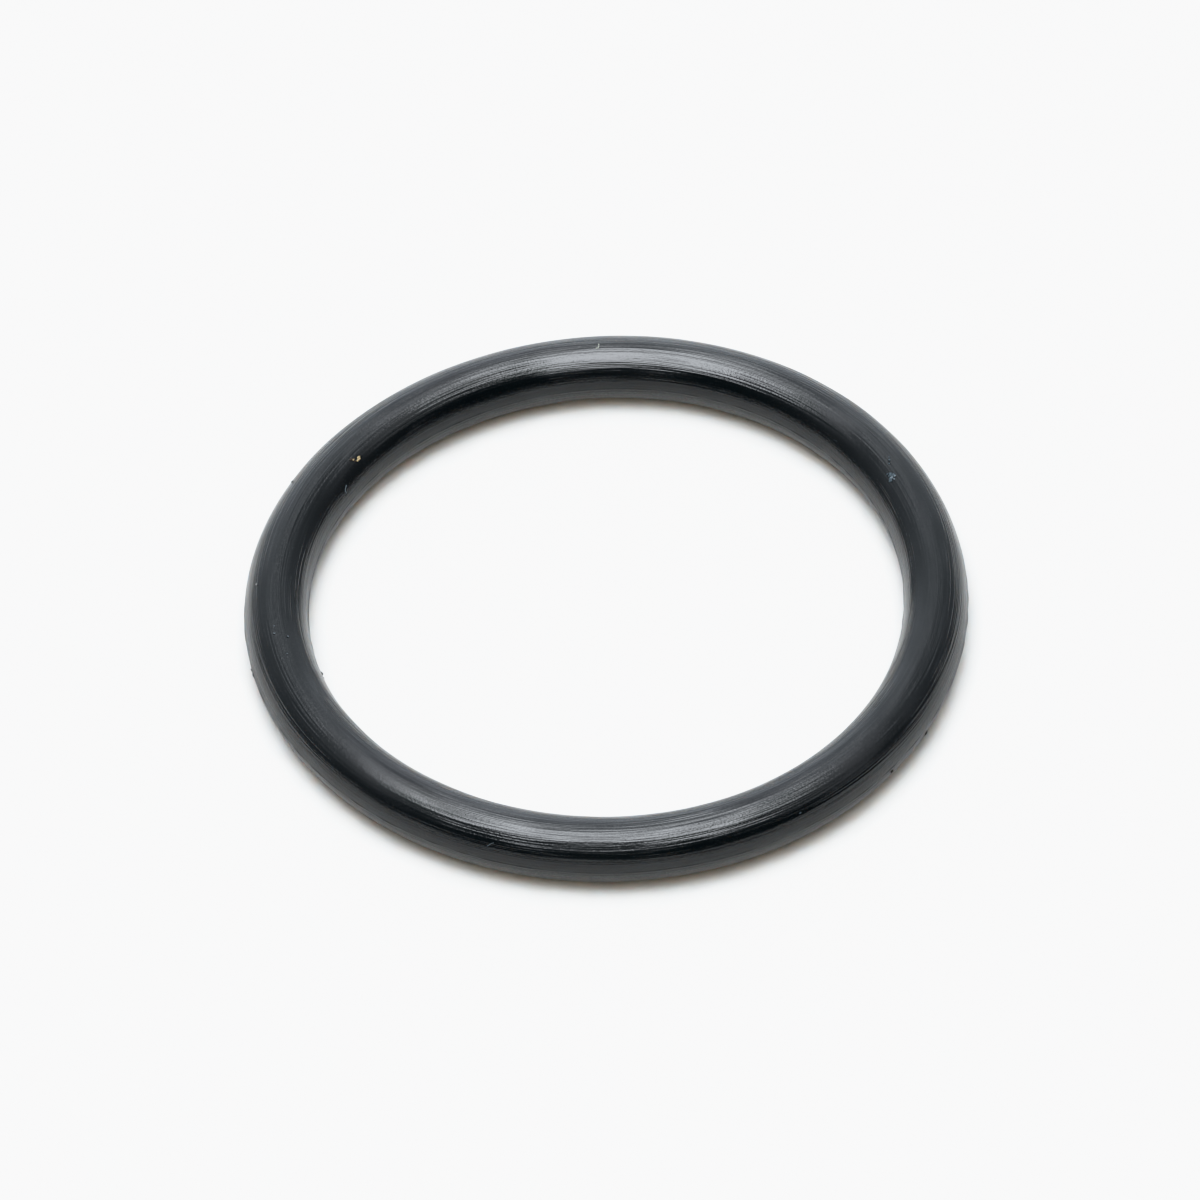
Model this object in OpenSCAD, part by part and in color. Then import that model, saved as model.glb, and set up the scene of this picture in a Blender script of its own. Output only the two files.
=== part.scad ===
// Rubber O-ring: one solid moulded ring of round section, lying flat.
// Millimetres. +Z runs along the axis of the ring, and the origin is the centre
// of the ring on its middle plane, where the two halves of the mould closed.

/* [Ring] */
// Inside diameter, across the hole from rubber to rubber
inside_d = 32; // [12:0.5:80]
// Section diameter, through the rubber
section_d = 3.5; // [1.5:0.1:6]

/* [Parting line] */
// Height of the trimmed flash above the round of the section
flash_h = 0.03; // [0.01:0.01:0.12]
// Thickness of the trimmed flash, along the axis of the ring
flash_t = 0.1; // [0.04:0.01:0.2]

/* [Hidden] */

// Straight steps that stand for a full turn when the model is drawn as a mesh
turn_steps = 120;
section_steps = 48;

section_r = section_d / 2;
// Radius of the circle that the middle of the section runs round
middle_r = inside_d / 2 + section_r;
// From the middle of the section to the centre of the flash's rounded edge
flash_edge_x = section_r + flash_h - flash_t / 2;

// Flash where the mould halves met: a thin tongue with a rounded edge, drawn
// from the middle of the section so that it stays joined at any size
module flash_tongue() {
    translate([0, -flash_t / 2])
        square([flash_edge_x, flash_t]);
    translate([flash_edge_x, 0])
        circle(d = flash_t, $fn = section_steps);
}

// Section of the ring: the full round of the two cavities, with the flash on
// the side of the hole and on the outside
module ring_section() {
    circle(d = section_d, $fn = section_steps);
    flash_tongue();
    mirror([1, 0])
        flash_tongue();
}

// The whole ring, turned round its axis in one piece
module o_ring() {
    color([0.10, 0.11, 0.12])
        rotate_extrude($fn = turn_steps)
            translate([middle_r, 0])
                ring_section();
}

o_ring();
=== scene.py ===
"""A black rubber O-ring lying on a pale floor, under a soft studio light."""

import math

import bmesh
import bpy
import numpy as np
from mathutils import Matrix, Vector


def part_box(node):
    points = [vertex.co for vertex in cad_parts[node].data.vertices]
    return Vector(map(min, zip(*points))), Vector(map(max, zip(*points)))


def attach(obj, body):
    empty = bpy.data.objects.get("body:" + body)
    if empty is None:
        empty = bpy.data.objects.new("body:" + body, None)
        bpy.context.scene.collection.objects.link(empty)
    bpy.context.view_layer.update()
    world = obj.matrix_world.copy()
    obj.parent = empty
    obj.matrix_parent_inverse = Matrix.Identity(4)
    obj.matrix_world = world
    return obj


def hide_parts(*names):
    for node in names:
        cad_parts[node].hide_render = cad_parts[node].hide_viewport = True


MM = 0.001

# Camera: it looks down on the ring at the photograph's angle
FRAME_PX = 1200.0
VIEW_ELEVATION = math.radians(46.9)
VIEW_ROLL = math.radians(2.54)
# Distance of the camera, in radii of the ring's middle circle
VIEW_RADII = 30.0
# Radius of the middle circle, and place of its centre, in the photograph
RING_RADIUS_PX = 329.85
RING_CENTRE_PX = (607.5, 602.6)
SENSOR_MM = 36.0
# Nearest thing that the camera draws, as a share of its distance, and the farthest in metres
VIEW_NEAREST = 0.1
VIEW_FARTHEST = 20

# Light in and light out of the display, up to the brightest light that it tells apart
TONE_SHOULDER = [(0.0, 0.0), (0.7, 0.7), (0.9, 0.825), (1.1, 0.895), (1.35, 0.94), (1.8, 0.955)]

# Softbox over the ring: its height, and how far its middle is off to the side, in metres
SOFTBOX_HEIGHT = 0.8
SOFTBOX_OFF_CENTRE = -0.06
SOFTBOX_COLOUR = (0.955, 1.0, 1.05)
# Its panels: the left and right edge from the middle of the softbox, the front and back edge
# behind the ring, in metres, and how bright each panel is. The last two are its side wings
SOFTBOX_PANELS = [
    (-0.33, 0.33, -0.70, -0.50, 0.8),
    (-0.33, 0.33, -0.50, -0.36, 2.8),
    (-0.31, 0.31, -0.36, -0.22, 10.5),
    (-0.31, 0.31, -0.22, 0.18, 15.5),
    (-0.28, 0.28, 0.18, 0.34, 6.2),
    (-0.25, 0.25, 0.34, 0.60, 3.8),
    (-1.00, -0.33, -0.35, 0.25, 0.6),
    (0.33, 1.10, -0.35, 0.25, 0.95),
]

# Fill light in front: its size and place in metres, and how bright it is
FILL_SIZE = (0.70, 0.40)
FILL_PLACE = (0, -0.535, 0.595)
FILL_RADIANCE = 2.3
FILL_COLOUR = (1.12, 1.0, 0.81)

# The room, from its front to its back wall: the share of the way, how bright it is there, and
# how red for its green
ROOM = [(0.0, 0.06, 0.6), (0.2, 0.06, 0.6), (0.5, 0.45, 0.88), (0.85, 1.1, 0.9), (1.0, 2.5, 0.92)]
# How blue it is for its green, the same all over
ROOM_BLUE = 1.09
# Shares by which it is lighter towards the left, and darker towards both side walls
ROOM_LEAN = 0.28
ROOM_SIDE_FALL = 0.55

# Floor: a slab that light soaks into, in metres
FLOOR_SIZE = 6.0
FLOOR_THICKNESS = 0.05
FLOOR_COLOUR = (0.490, 0.486, 0.474, 1)
# How far red, green and blue light soak in
FLOOR_SOAK = (0.85, 0.60, 0.42)
FLOOR_SOAK_SCALE = 1.0 * MM

# Ring mesh: steps round the ring and round the section
RING_STEPS = 450
SECTION_STEPS = 220
# Share by which the section's steps crowd towards the two parting lines
CROWDING = 0.35
# How far the soft ring has sprung into three lobes, as a share of its middle radius
LOBE_SHARE = 0.0047
LOBES = 3

# Relief of the rubber: how steep its slow sway and its streaks are across the section
SWAY_SLOPE = 0.006
STREAK_SLOPE = 0.019
# The streaks come and go in patches, and their strength stays between these two
STREAK_PATCHINESS = 0.6
STREAK_STRENGTHS = (0.15, 2.2)
# On the way down, between these heights in radii of the section, this share of them goes
STREAKS_FADE = (0.71, 0.4)
STREAKS_LOST = 0.7
# The relief's depth at most, and the share of it that lies under its crests
RELIEF_DEPTH = 0.06 * MM
CREST_SHARE = 0.995
# How far the rubber lies under the true round, so that the dust on top has room
DUST_ROOM = 0.02 * MM

# Parting line: the trimmed flash on the outside and on the side of the hole
FLASH_HEIGHT = 0.03 * MM
FLASH_THICKNESS = 0.1 * MM
# Share of the flash's height that trimming left on average, and how much that varies
FLASH_LEFT = 0.55
FLASH_UNEVEN = 0.4

# Scratches along the ring: from and to (degrees round the ring), the place on the
# section (degrees from the outside, over the top), width and depth (mm)
SCRATCHES = [
    (196, 292, 48.0, 0.09, 0.004),
    (214, 306, 51.5, 0.07, 0.003),
    (228, 262, 61.0, 0.08, -0.002),
    (238, 285, 66.5, 0.10, 0.004),
    (234, 268, 84.0, 0.09, -0.005),
    (243, 279, 90.0, 0.08, 0.005),
    (36, 148, 101.5, 0.09, 0.004),
    (28, 122, 115.0, 0.11, 0.004),
    (108, 142, 183.5, 0.10, 0.006),
    (38, 62, 184.0, 0.10, 0.005),
    (250, 330, 28.5, 0.08, -0.005),
]
# Share of its half length at which a scratch starts to fade, and how far it wanders
SCRATCH_FADE = 0.6
SCRATCH_WANDER = 0.04 * MM

# Grains of dust on the rubber: place round the ring and on the section (degrees),
# length along the ring, width across it and height (mm), and which dust it is
GRAINS = [
    (142.20, 126.5, 0.25, 0.16, 0.06, "yellow_grain"),
    (141.95, 124.5, 0.16, 0.12, 0.05, "yellow_grain"),
    (142.70, 127.5, 0.14, 0.10, 0.05, "yellow_grain"),
    (143.2, 121.5, 0.11, 0.07, 0.04, "yellow_grain"),
    (143.5, 117.5, 0.15, 0.11, 0.05, "brown_grain"),
    (143.1, 125.0, 0.09, 0.07, 0.04, "brown_grain"),
    (176.5, 54.5, 0.11, 0.10, 0.07, "pale_fleck"),
    (188.8, 81.0, 0.10, 0.07, 0.04, "blue_fleck"),
    (190.0, 103.5, 0.08, 0.09, 0.04, "blue_fleck"),
    (187.2, 84.0, 0.07, 0.05, 0.03, "blue_fleck"),
    (194.0, 92.0, 0.09, 0.05, 0.03, "blue_fleck"),
    (300.0, 35.0, 0.10, 0.07, 0.02, "dim_fleck"),
    (328.5, -11.5, 0.20, 0.20, 0.05, "dark_grain"),
    (318.5, -6.5, 0.17, 0.17, 0.05, "dark_grain"),
    (152.05, 42.5, 0.13, 0.16, 0.06, "dark_grain"),
]

# The pale scuff: small flakes of rubbed-off dust, given as the dust is
SCUFF = [
    (23.9, 107.0, 0.10, 0.26, 0.03, "dim_fleck"),
    (23.5, 111.0, 0.16, 0.18, 0.03, "blue_fleck"),
    (23.2, 115.0, 0.26, 0.12, 0.03, "dim_fleck"),
    (24.1, 112.5, 0.09, 0.16, 0.03, "dim_fleck"),
    (22.9, 109.0, 0.10, 0.12, 0.02, "blue_fleck"),
    (23.0, 118.5, 0.14, 0.07, 0.02, "dim_fleck"),
    (27.2, 96.0, 0.12, 0.10, 0.02, "dim_fleck"),
    (26.5, 100.5, 0.09, 0.08, 0.02, "dim_fleck"),
    (27.8, 93.0, 0.08, 0.06, 0.02, "dim_fleck"),
    (24.4, 109.5, 0.12, 0.16, 0.02, "dim_fleck"),
    (24.7, 113.5, 0.08, 0.16, 0.02, "dim_fleck"),
    (23.4, 105.0, 0.12, 0.10, 0.02, "blue_fleck"),
]

# Ragged lumps of rubber left on the trimmed flash: ring and section (degrees), size (mm)
NIBS = [
    (195.8, 177.0, 0.24, 0.13, 0.15),
    (196.9, 178.0, 0.15, 0.11, 0.09),
    (192.2, 0.0, 0.24, 0.11, 0.06),
    (191.1, 0.0, 0.18, 0.11, 0.06),
]

# Grains, flakes and nibs alike: how far the middle of one stands off the rubber, as a share of
# its height
LUMP_LIFT = 0.15
# The ripples that make it uneven: how many, how much their ways and lengths vary, how close
# they are, their phases, and their depths as a share of its size
RIPPLES = 7
RIPPLE_SPREAD = 1.6
RIPPLE_PACE = 1.5
RIPPLE_PHASES = 6.3
RIPPLE_DEPTHS = (0.06, 0.2)

# Fibres of lint: thickness (mm), dust, and points round the ring and on the section (degrees)
FIBRES = [
    (
        0.050,
        "lint",
        [(89.5, 87.0), (89.5, 90.5), (89.5, 94.0), (89.55, 96.4), (89.8, 97.3), (90.1, 97.0)],
    ),
    (0.026, "blue_fleck", [(249.0, 30.5), (249.3, 33.0), (249.5, 35.5), (249.9, 38.0)]),
    (0.040, "blue_fleck", [(149.2, 154.0), (149.3, 150.0), (148.9, 146.0), (148.2, 143.5)]),
]
# How far a fibre is pressed into the rubber, as a share of its thickness
FIBRE_SINK = 0.1

# Dust: a darker and a lighter shade, and how rough it is
DUST = {
    "yellow_grain": ((0.105, 0.07, 0.032, 1), (0.35, 0.28, 0.155, 1), 0.6),
    "brown_grain": ((0.009, 0.006, 0.005, 1), (0.05, 0.032, 0.018, 1), 0.7),
    "pale_fleck": ((0.056, 0.060, 0.063, 1), (0.18, 0.18, 0.175, 1), 0.7),
    "blue_fleck": ((0.030, 0.040, 0.048, 1), (0.095, 0.115, 0.13, 1), 0.6),
    "dim_fleck": ((0.009, 0.015, 0.019, 1), (0.04, 0.055, 0.066, 1), 0.6),
    "dark_grain": ((0.0014, 0.0014, 0.0014, 1), (0.007, 0.0056, 0.0042, 1), 0.9),
    "lint": ((0.13, 0.14, 0.12, 1), (0.30, 0.31, 0.27, 1), 0.8),
}
DUST_MOTTLE = 0.05 * MM
DUST_BUMP = 0.01 * MM


def ring_sizes():
    """Radius of the middle circle and of the round section, taken from the CAD box. The
    middle circle is drawn in so far that the lobes stay inside that box."""
    low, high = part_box("o_ring")
    section_radius = (high.z - low.z) / 2
    true_radius = (high.x - low.x) / 2 - section_radius - FLASH_HEIGHT
    return true_radius * (1 - LOBE_SHARE), section_radius


class Ring:
    """The shape of the ring: where a place round it and round its section lies in space.
    Angles are in radians: round the ring from +X, and round the section from the outside,
    over the top, to the hole."""

    def __init__(self, middle_radius, section_radius):
        self.middle_radius = middle_radius
        self.section_radius = section_radius

    def point(self, ring_angle, section_angle, lift=0.0):
        """Places as an array whose last axis is x, y, z, lifted off the round section."""
        middle = self.middle_radius * (1 - LOBE_SHARE * np.cos(LOBES * ring_angle))
        radius = self.section_radius + lift
        out = middle + radius * np.cos(section_angle)
        return np.stack(
            [out * np.cos(ring_angle), out * np.sin(ring_angle), radius * np.sin(section_angle)],
            axis=-1,
        )

    def stand(self, ring_angle, section_angle, lift):
        """A matrix at a place on the rubber: x along the ring, y across it, z off the rubber."""
        along = Vector((-math.sin(ring_angle), math.cos(ring_angle), 0))
        out = Vector((math.cos(ring_angle), math.sin(ring_angle), 0))
        off = math.cos(section_angle) * out + math.sin(section_angle) * Vector((0, 0, 1))
        matrix = Matrix((along, off.cross(along), off)).transposed().to_4x4()
        matrix.translation = Vector(self.point(ring_angle, section_angle, lift))
        return matrix


def waves(rng, along, across, count):
    """A smooth random relief over the ring that closes on itself both ways. along and across
    are the lowest and highest whole number of waves round the ring and round the section."""
    return [
        (
            int(rng.integers(along[0], along[1] + 1)) * int(rng.choice((-1, 1))),
            int(rng.integers(across[0], across[1] + 1)),
            rng.uniform(0, 2 * math.pi),
            rng.normal(0, 1),
        )
        for _ in range(count)
    ]


def relief_height(terms, ring_angle, section_angle, section_radius, slope):
    """Height of a relief, scaled so that its slope across the section is slope on average."""
    height = np.zeros(np.broadcast(ring_angle, section_angle).shape)
    steepness = 0.0
    for along, across, phase, weight in terms:
        height += weight * np.cos(along * ring_angle + across * section_angle + phase)
        steepness += (weight * across / section_radius) ** 2 / 2
    return height * slope / math.sqrt(steepness)


def smooth_step(value, low, high):
    """0 below low, 1 above high, and a smooth rise between."""
    share = np.clip((value - low) / (high - low), 0, 1)
    return share * share * (3 - 2 * share)


def angle_between(angle, other):
    """The signed way from one angle to another, no longer than half a turn."""
    return (angle - other + math.pi) % (2 * math.pi) - math.pi


def scratch_height(ring_angle, section_angle, section_radius, wander):
    """Height of the scratches: each is a groove, or a ridge where its depth is negative,
    that fades out at both ends and wanders a little across the section."""
    height = np.zeros(ring_angle.shape)
    for start, end, place, width, depth in SCRATCHES:
        centre = math.radians((start + end) / 2)
        half = math.radians((end - start) / 2)
        off_centre = np.abs(angle_between(ring_angle, centre))
        strength = 1 - smooth_step(off_centre, half * SCRATCH_FADE, half)
        across = angle_between(section_angle, math.radians(place)) * section_radius - wander
        height -= depth * MM * strength * np.exp(-((across / (width * MM / 2)) ** 2))
    return height


def flash_height(ring_angle, section_angle, section_radius, rng):
    """Height of the trimmed flash, which comes and goes round the ring on both sides."""
    height = np.zeros(ring_angle.shape)
    for place in (0, math.pi):
        terms = waves(rng, along=(5, 90), across=(0, 0), count=60)
        uneven = sum(w * np.cos(n * ring_angle + phase) for n, _, phase, w in terms)
        left = np.clip(FLASH_LEFT + FLASH_UNEVEN * uneven / np.std(uneven), 0, 1)
        across = angle_between(section_angle, place) * section_radius
        height += FLASH_HEIGHT * left * np.exp(-((across / (FLASH_THICKNESS / 2)) ** 4))
    return height


def make_ring(shape):
    """The rubber ring: its round section, the relief of the mould's surface, the scratches
    and the flash."""
    rng = np.random.default_rng(7)
    turn = np.arange(RING_STEPS) * 2 * math.pi / RING_STEPS
    even = np.arange(SECTION_STEPS) * 2 * math.pi / SECTION_STEPS
    section = even - CROWDING * np.sin(2 * even) / 2
    ring_angle, section_angle = np.meshgrid(turn, section, indexing="ij")
    places = (ring_angle, section_angle, shape.section_radius)

    sway = waves(rng, along=(4, 30), across=(1, 5), count=40)
    sway = relief_height(sway, *places, SWAY_SLOPE)
    streaks = waves(rng, along=(0, 8), across=(28, 50), count=160)
    streaks = relief_height(streaks, *places, STREAK_SLOPE)
    patches = relief_height(waves(rng, along=(2, 12), across=(2, 6), count=40), *places, 1.0)
    patches = 1 + STREAK_PATCHINESS * patches / np.std(patches)
    streaks *= np.clip(patches, *STREAK_STRENGTHS)
    fade_from, fade_to = STREAKS_FADE
    streaks *= 1 - STREAKS_LOST * smooth_step(-np.sin(section_angle), -fade_from, -fade_to)
    wander = relief_height(waves(rng, along=(3, 14), across=(0, 1), count=30), *places, 0.02)
    wander *= SCRATCH_WANDER / np.std(wander)
    relief = sway + streaks + scratch_height(*places, wander)

    # The crests of the relief reach the round of the rubber, and the rest lies under it
    relief = np.clip(relief - np.quantile(relief, CREST_SHARE), -RELIEF_DEPTH, 0) - DUST_ROOM
    flash = flash_height(*places, rng)
    points = shape.point(ring_angle, section_angle, relief + flash)
    return mesh_of_grid("ring_rubber", points)


def mesh_of_grid(name, points):
    """A mesh over a grid of points that closes on itself both ways."""
    rows, columns = points.shape[:2]
    index = np.arange(rows * columns).reshape(rows, columns)
    after_row = np.roll(index, -1, axis=0)
    after_column = np.roll(index, -1, axis=1)
    after_both = np.roll(after_row, -1, axis=1)
    faces = np.stack([index, after_row, after_both, after_column], axis=-1).reshape(-1, 4)
    mesh = bpy.data.meshes.new(name)
    mesh.from_pydata(points.reshape(-1, 3).tolist(), [], faces.tolist())
    mesh.polygons.foreach_set("use_smooth", [True] * len(mesh.polygons))
    mesh.update()
    return place_piece(name, mesh)


def place_piece(name, data):
    """Puts a mesh or curve into the scene, riding with the ring."""
    piece = bpy.data.objects.new(name, data)
    bpy.context.scene.collection.objects.link(piece)
    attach(piece, "root")
    return piece


def make_lump(name, shape, ring_degrees, section_degrees, size, rng, material):
    """A small uneven lump on the rubber, sunk into it by about a third of its height."""
    length, width, height = (v * MM for v in size)
    stand = shape.stand(
        math.radians(ring_degrees), math.radians(section_degrees), height * LUMP_LIFT
    )
    lump = bmesh.new()
    bmesh.ops.create_icosphere(lump, subdivisions=3, radius=1)
    ripples = [
        (
            Vector(rng.normal(0, RIPPLE_SPREAD, 3)),
            rng.uniform(0, RIPPLE_PHASES),
            rng.uniform(*RIPPLE_DEPTHS),
        )
        for _ in range(RIPPLES)
    ]
    for vertex in lump.verts:
        swell = 1 + sum(
            depth * math.sin(way.dot(vertex.co) * RIPPLE_PACE + phase)
            for way, phase, depth in ripples
        )
        spot = vertex.co * swell
        vertex.co = stand @ Vector((spot.x * length / 2, spot.y * width / 2, spot.z * height / 2))
        vertex.co.z = min(vertex.co.z, shape.section_radius)
    for face in lump.faces:
        face.smooth = True
    mesh = bpy.data.meshes.new(name)
    lump.to_mesh(mesh)
    lump.free()
    mesh.materials.append(material)
    return place_piece(name, mesh)


def make_fibre(name, shape, route, thickness, material):
    """A thread of lint that lies on the rubber along a route of places."""
    curve = bpy.data.curves.new(name, "CURVE")
    curve.dimensions = "3D"
    curve.resolution_u = 6
    curve.bevel_depth = thickness * MM / 2
    curve.bevel_resolution = 3
    curve.use_fill_caps = True
    spline = curve.splines.new("NURBS")
    spline.points.add(len(route) - 1)
    for spot, (ring_degrees, section_degrees) in zip(spline.points, route):
        place = shape.point(
            math.radians(ring_degrees), math.radians(section_degrees), -thickness * MM * FIBRE_SINK
        )
        place[2] = min(place[2], shape.section_radius - thickness * MM / 2)
        spot.co = (*place, 1)
    spline.order_u = 3
    spline.use_endpoint_u = True
    curve.materials.append(material)
    place_piece(name, curve)


class Wiring:
    """Adds nodes to one material or world and joins them up."""

    def __init__(self, owner):
        owner.use_nodes = True
        self.nodes = owner.node_tree.nodes
        self.links = owner.node_tree.links

    def put(self, socket, value):
        """Joins a socket to another one, or gives it a plain value."""
        if isinstance(value, bpy.types.NodeSocket):
            self.links.new(value, socket)
        else:
            socket.default_value = value

    def math(self, operation, *values):
        node = self.nodes.new("ShaderNodeMath")
        node.operation = operation
        for socket, value in zip(node.inputs, values):
            self.put(socket, value)
        return node.outputs[0]

    def vector(self, x, y, z):
        node = self.nodes.new("ShaderNodeCombineXYZ")
        for socket, value in zip(node.inputs, (x, y, z)):
            self.put(socket, value)
        return node.outputs[0]

    def parts(self, vector):
        node = self.nodes.new("ShaderNodeSeparateXYZ")
        self.put(node.inputs[0], vector)
        return node.outputs

    def place(self, output="Object"):
        return self.nodes.new("ShaderNodeTexCoord").outputs[output]

    def noise(self, vector, w=0.0, scale=1.0, detail=2.0, roughness=0.5):
        node = self.nodes.new("ShaderNodeTexNoise")
        node.noise_dimensions = "4D"
        self.put(node.inputs["Vector"], vector)
        self.put(node.inputs["W"], w)
        node.inputs["Scale"].default_value = scale
        node.inputs["Detail"].default_value = detail
        node.inputs["Roughness"].default_value = roughness
        return node.outputs[0]

    def spread(self, value, low, high, to_low=0.0, to_high=1.0):
        """Maps low..high to to_low..to_high, smoothly and without going past them."""
        node = self.nodes.new("ShaderNodeMapRange")
        node.interpolation_type = "SMOOTHSTEP"
        self.put(node.inputs["Value"], value)
        node.inputs["From Min"].default_value = low
        node.inputs["From Max"].default_value = high
        node.inputs["To Min"].default_value = to_low
        node.inputs["To Max"].default_value = to_high
        return node.outputs[0]

    def blend(self, share, first, second):
        """A colour between two colours."""
        node = self.nodes.new("ShaderNodeMix")
        node.data_type = "RGBA"
        self.put(node.inputs[0], share)
        self.put(node.inputs[6], first)
        self.put(node.inputs[7], second)
        return node.outputs[2]

    def bump(self, height):
        """A bump whose height is in metres."""
        node = self.nodes.new("ShaderNodeBump")
        node.inputs["Strength"].default_value = 1.0
        node.inputs["Distance"].default_value = 1.0
        self.put(node.inputs["Height"], height)
        return node.outputs[0]


def ring_streaks(wiring, shape, length, width):
    """A noise drawn out along the ring into streaks of about this length and width."""
    x, y, z = wiring.parts(wiring.place())
    far_squared = wiring.math("ADD", wiring.math("MULTIPLY", x, x), wiring.math("MULTIPLY", y, y))
    far = wiring.math("SQRT", far_squared)
    turns = shape.middle_radius / length
    rounds = shape.section_radius / width
    off_middle = wiring.math("SUBTRACT", far, shape.middle_radius)
    out = wiring.math("DIVIDE", off_middle, shape.section_radius)
    up = wiring.math("DIVIDE", z, shape.section_radius)
    return wiring.noise(
        wiring.vector(
            wiring.math("MULTIPLY", wiring.math("DIVIDE", x, far), turns),
            wiring.math("MULTIPLY", wiring.math("DIVIDE", y, far), turns),
            wiring.math("MULTIPLY", out, rounds),
        ),
        wiring.math("MULTIPLY", up, rounds),
        detail=1.0,
    )


def rubber_material(shape):
    """Satin black rubber, with fine streaks along the ring, a fine grain, a thin bloom, and painted
    light: a lighter under side that stands in for the glow of the bright floor.
    """
    material = bpy.data.materials.new("black_rubber")
    wiring = Wiring(material)
    shader = wiring.nodes["Principled BSDF"]
    shader.inputs["IOR"].default_value = 1.42
    shader.inputs["Anisotropic"].default_value = 0.5
    shader.inputs["Anisotropic Rotation"].default_value = 0.25
    tangent = wiring.nodes.new("ShaderNodeTangent")
    tangent.direction_type = "RADIAL"
    tangent.axis = "Z"
    wiring.put(shader.inputs["Tangent"], tangent.outputs["Tangent"])

    fine = ring_streaks(wiring, shape, 8 * MM, 0.085 * MM)
    broad = ring_streaks(wiring, shape, 15 * MM, 0.26 * MM)
    patch = ring_streaks(wiring, shape, 6 * MM, 0.9 * MM)
    grain = wiring.noise(wiring.place(), scale=1 / (0.11 * MM), detail=2.5, roughness=0.6)
    scuffed = wiring.spread(patch, 0.38, 0.62)

    # Heights between which the surface changes on the way down. The under side is duller: its
    # streaks are shallow and its grain is matte, and a lighter colour is painted on it as painted
    # light for the glow of the bright floor
    level = wiring.parts(wiring.place())[2]
    streaks_fade = (1.25 * MM, 0.7 * MM)
    grain_coarsens = (0.7 * MM, 0.0)
    gloss_fades = (0.9 * MM, 0.1 * MM)
    painted_glow_heights = (0.2 * MM, -0.8 * MM)

    # Depths of the bump: the fine streaks, what scuffing adds to them, the broad streaks, and
    # the grain above and below
    fine_depth = 0.018 * MM
    scuff_depth = 0.038 * MM
    broad_depth = 0.013 * MM
    grain_depths = (0.016 * MM, 0.020 * MM)
    streak_depth = wiring.math("MULTIPLY_ADD", scuffed, scuff_depth, fine_depth)
    streaks = wiring.math("MULTIPLY", fine, streak_depth)
    streaks = wiring.math("MULTIPLY_ADD", broad, broad_depth, streaks)
    streaks = wiring.math("MULTIPLY", streaks, wiring.spread(level, *streaks_fade, 1.0, 0.3))
    grain_depth = wiring.spread(level, *grain_coarsens, *grain_depths)
    height = wiring.math("MULTIPLY_ADD", grain, grain_depth, streaks)
    wiring.put(shader.inputs["Normal"], wiring.bump(height))

    # Roughness: what the streaks and the scuffing add to the satin above and the matte below
    worn = wiring.math("MULTIPLY_ADD", fine, 0.12, wiring.math("MULTIPLY", scuffed, 0.04))
    dull = wiring.spread(level, *gloss_fades, 0.09, 0.33)
    wiring.put(shader.inputs["Roughness"], wiring.math("ADD", worn, dull))

    deep_black = (0.0003, 0.0008, 0.0011, 1)
    bloom_grey = (0.0021, 0.0030, 0.0037, 1)
    # Painted light: a lighter colour that stands in for the glow of the bright floor on the under
    # side
    painted_floor_glow = (0.068, 0.067, 0.063, 1)
    bloom = wiring.math("MULTIPLY", wiring.spread(fine, 0.5, 0.85), scuffed)
    clean = wiring.blend(bloom, deep_black, bloom_grey)
    # The painted floor glow rises towards the floor and is mottled by the grain
    painted_glow_by_height = wiring.spread(level, *painted_glow_heights)
    painted_glow_share = wiring.math("MULTIPLY", painted_glow_by_height, wiring.spread(grain, 0.2, 0.8))
    wiring.put(shader.inputs["Base Color"], wiring.blend(painted_glow_share, clean, painted_floor_glow))
    return material


def dust_material(name, dark, light, roughness):
    """Dust of two shades of one colour."""
    material = bpy.data.materials.new(name)
    wiring = Wiring(material)
    shader = wiring.nodes["Principled BSDF"]
    mottle = wiring.noise(wiring.place(), scale=1 / DUST_MOTTLE, detail=3.0)
    shade = wiring.blend(wiring.spread(mottle, 0.35, 0.65), dark, light)
    wiring.put(shader.inputs["Base Color"], shade)
    uneven_roughness = wiring.spread(mottle, 0.3, 0.7, roughness, roughness + 0.2)
    wiring.put(shader.inputs["Roughness"], uneven_roughness)
    shader.inputs["Specular IOR Level"].default_value = 0.15
    wiring.put(shader.inputs["Normal"], wiring.bump(wiring.math("MULTIPLY", mottle, DUST_BUMP)))
    return material


def make_dust(shape):
    """The grains, flecks and fibres that lie on the rubber."""
    materials = {name: dust_material(name, *look) for name, look in DUST.items()}
    rng = np.random.default_rng(11)
    for number, (ring_at, section_at, *size, dust) in enumerate(GRAINS + SCUFF, 1):
        make_lump(f"dust_{number}", shape, ring_at, section_at, size, rng, materials[dust])
    for number, (thickness, dust, route) in enumerate(FIBRES, 1):
        make_fibre(f"fibre_{number}", shape, route, thickness, materials[dust])


def make_nibs(shape, material):
    """The ragged lumps of rubber that the trimming left on the flash."""
    rng = np.random.default_rng(5)
    for number, (ring_at, section_at, *size) in enumerate(NIBS, 1):
        nib = make_lump(f"flash_nib_{number}", shape, ring_at, section_at, size, rng, material)


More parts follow.
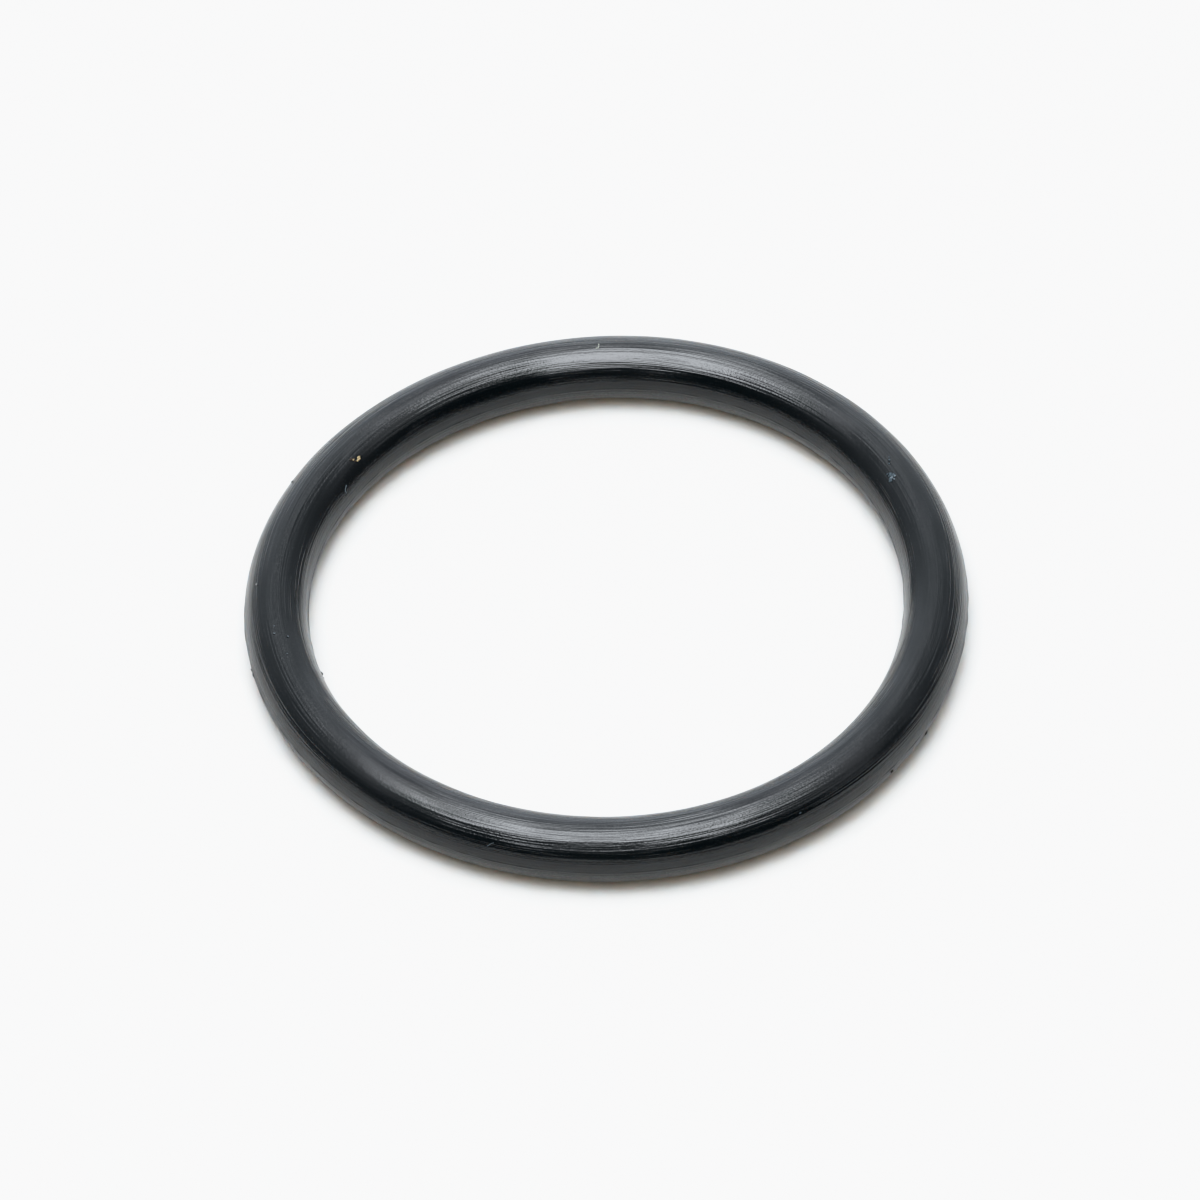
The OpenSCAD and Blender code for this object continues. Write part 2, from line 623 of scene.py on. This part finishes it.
def make_floor(top):
    """The plain pale floor that the ring lies on: a thick slab that light soaks into."""
    mesh = bpy.data.meshes.new("floor")
    slab = bmesh.new()
    bmesh.ops.create_cube(slab, size=1)
    bmesh.ops.scale(slab, vec=(FLOOR_SIZE, FLOOR_SIZE, FLOOR_THICKNESS), verts=slab.verts)
    bmesh.ops.translate(slab, vec=(0, 0, top - FLOOR_THICKNESS / 2), verts=slab.verts)
    slab.to_mesh(mesh)
    slab.free()
    floor = bpy.data.objects.new("floor", mesh)
    bpy.context.scene.collection.objects.link(floor)
    material = bpy.data.materials.new("pale_floor")
    wiring = Wiring(material)
    shader = wiring.nodes["Principled BSDF"]
    shader.subsurface_method = "BURLEY"
    shader.inputs["Base Color"].default_value = FLOOR_COLOUR
    shader.inputs["Specular IOR Level"].default_value = 0.05
    shader.inputs["Subsurface Weight"].default_value = 1.0
    shader.inputs["Subsurface Radius"].default_value = FLOOR_SOAK
    shader.inputs["Subsurface Scale"].default_value = FLOOR_SOAK_SCALE
    shader.inputs["Roughness"].default_value = 0.55
    mesh.materials.append(material)


def area_light(name, size, place, radiance, colour):
    """A flat rectangular light, which faces down until it is turned."""
    data = bpy.data.lights.new(name, "AREA")
    data.shape = "RECTANGLE"
    data.size, data.size_y = size
    data.energy = radiance * math.pi * data.size * data.size_y
    data.color = colour
    light = bpy.data.objects.new(name, data)
    light.location = place
    bpy.context.scene.collection.objects.link(light)
    return light


def make_softbox():
    """A large soft light over the ring, facing down. It is brightest over the ring and falls
    off on all sides, so it is made of panels side by side."""
    for number, (left, right, front, back, radiance) in enumerate(SOFTBOX_PANELS, 1):
        middle = SOFTBOX_OFF_CENTRE + (left + right) / 2
        place = (middle, (front + back) / 2, SOFTBOX_HEIGHT)
        size = (right - left, back - front)
        area_light(f"softbox_{number}", size, place, radiance, SOFTBOX_COLOUR)


def make_fill():
    """A warm light in front, which shows in the floor's shadow but not as a shine on the rubber."""
    light = area_light("fill", FILL_SIZE, FILL_PLACE, FILL_RADIANCE, FILL_COLOUR)
    light.rotation_euler = Vector(light.location).to_track_quat("Z", "Y").to_euler()
    light.visible_glossy = False


def make_world():
    """The studio round the ring: a pale wall behind it and a dark room in front."""
    world = bpy.data.worlds.new("studio")
    bpy.context.scene.world = world
    wiring = Wiring(world)
    background = wiring.nodes["Background"]
    right, away, _ = wiring.parts(wiring.place("Generated"))
    depth = wiring.nodes.new("ShaderNodeMapRange")
    depth.inputs["From Min"].default_value = -1
    wiring.put(depth.inputs["Value"], away)
    ramp = wiring.nodes.new("ShaderNodeValToRGB")
    wiring.put(ramp.inputs["Fac"], depth.outputs["Result"])
    elements = ramp.color_ramp.elements
    while len(elements) < len(ROOM):
        elements.new(0.5)
    for element, (place, level, red) in zip(elements, ROOM):
        element.position = place
        element.color = (red * level, level, ROOM_BLUE * level, 1)
    wiring.put(background.inputs["Color"], ramp.outputs["Color"])
    leftward = wiring.math("MULTIPLY_ADD", right, -ROOM_LEAN, 1.0)
    off_side = wiring.math("ABSOLUTE", right)
    sideways = wiring.math("MULTIPLY_ADD", off_side, -ROOM_SIDE_FALL, 1.0)
    wiring.put(background.inputs["Strength"], wiring.math("MULTIPLY", leftward, sideways))


def make_camera(middle_radius):
    """The camera, at the photograph's angle, roll, distance and framing."""
    data = bpy.data.cameras.new("camera")
    data.sensor_width = SENSOR_MM
    data.lens = SENSOR_MM * RING_RADIUS_PX / FRAME_PX * VIEW_RADII
    camera = bpy.data.objects.new("camera", data)
    bpy.context.scene.collection.objects.link(camera)
    bpy.context.scene.camera = camera
    distance = VIEW_RADII * middle_radius
    back = Vector((0, -math.cos(VIEW_ELEVATION), math.sin(VIEW_ELEVATION)))
    level_right = Vector((1, 0, 0))
    level_up = back.cross(level_right)
    right = math.cos(VIEW_ROLL) * level_right - math.sin(VIEW_ROLL) * level_up
    up = math.sin(VIEW_ROLL) * level_right + math.cos(VIEW_ROLL) * level_up
    pixel = middle_radius / RING_RADIUS_PX
    aim = (
        right * (FRAME_PX / 2 - RING_CENTRE_PX[0]) * pixel
        - up * (FRAME_PX / 2 - RING_CENTRE_PX[1]) * pixel
    )
    matrix = Matrix((right, up, back)).transposed().to_4x4()
    matrix.translation = aim + back * distance
    camera.matrix_world = matrix
    data.clip_start = distance * VIEW_NEAREST
    data.clip_end = VIEW_FARTHEST


def set_tones():
    """Plain display colours, with a soft shoulder that keeps the pale floor under white."""
    view = bpy.context.scene.view_settings
    view.view_transform = "Standard"
    view.use_curve_mapping = True
    brightest = TONE_SHOULDER[-1][0]
    view.curve_mapping.white_level = (brightest, brightest, brightest)
    curve = view.curve_mapping.curves[3]
    while len(curve.points) < len(TONE_SHOULDER):
        curve.points.new(0.5, 0.5)
    for point, (light_in, light_out) in zip(curve.points, TONE_SHOULDER):
        point.location = (light_in / brightest, light_out)
        point.handle_type = "VECTOR"
    view.curve_mapping.update()


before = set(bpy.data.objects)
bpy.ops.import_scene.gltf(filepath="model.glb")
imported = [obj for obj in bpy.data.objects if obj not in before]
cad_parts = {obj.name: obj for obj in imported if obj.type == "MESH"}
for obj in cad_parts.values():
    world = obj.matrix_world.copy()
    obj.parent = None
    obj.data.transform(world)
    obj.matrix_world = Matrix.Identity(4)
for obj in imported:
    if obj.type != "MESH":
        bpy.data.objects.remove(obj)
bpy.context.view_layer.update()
shape = Ring(*ring_sizes())

rubber = rubber_material(shape)
ring = make_ring(shape)
ring.data.materials.append(rubber)
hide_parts("o_ring")
make_nibs(shape, rubber)
make_dust(shape)

make_floor(-shape.section_radius)
make_softbox()
make_fill()
make_world()
make_camera(shape.middle_radius)
set_tones()
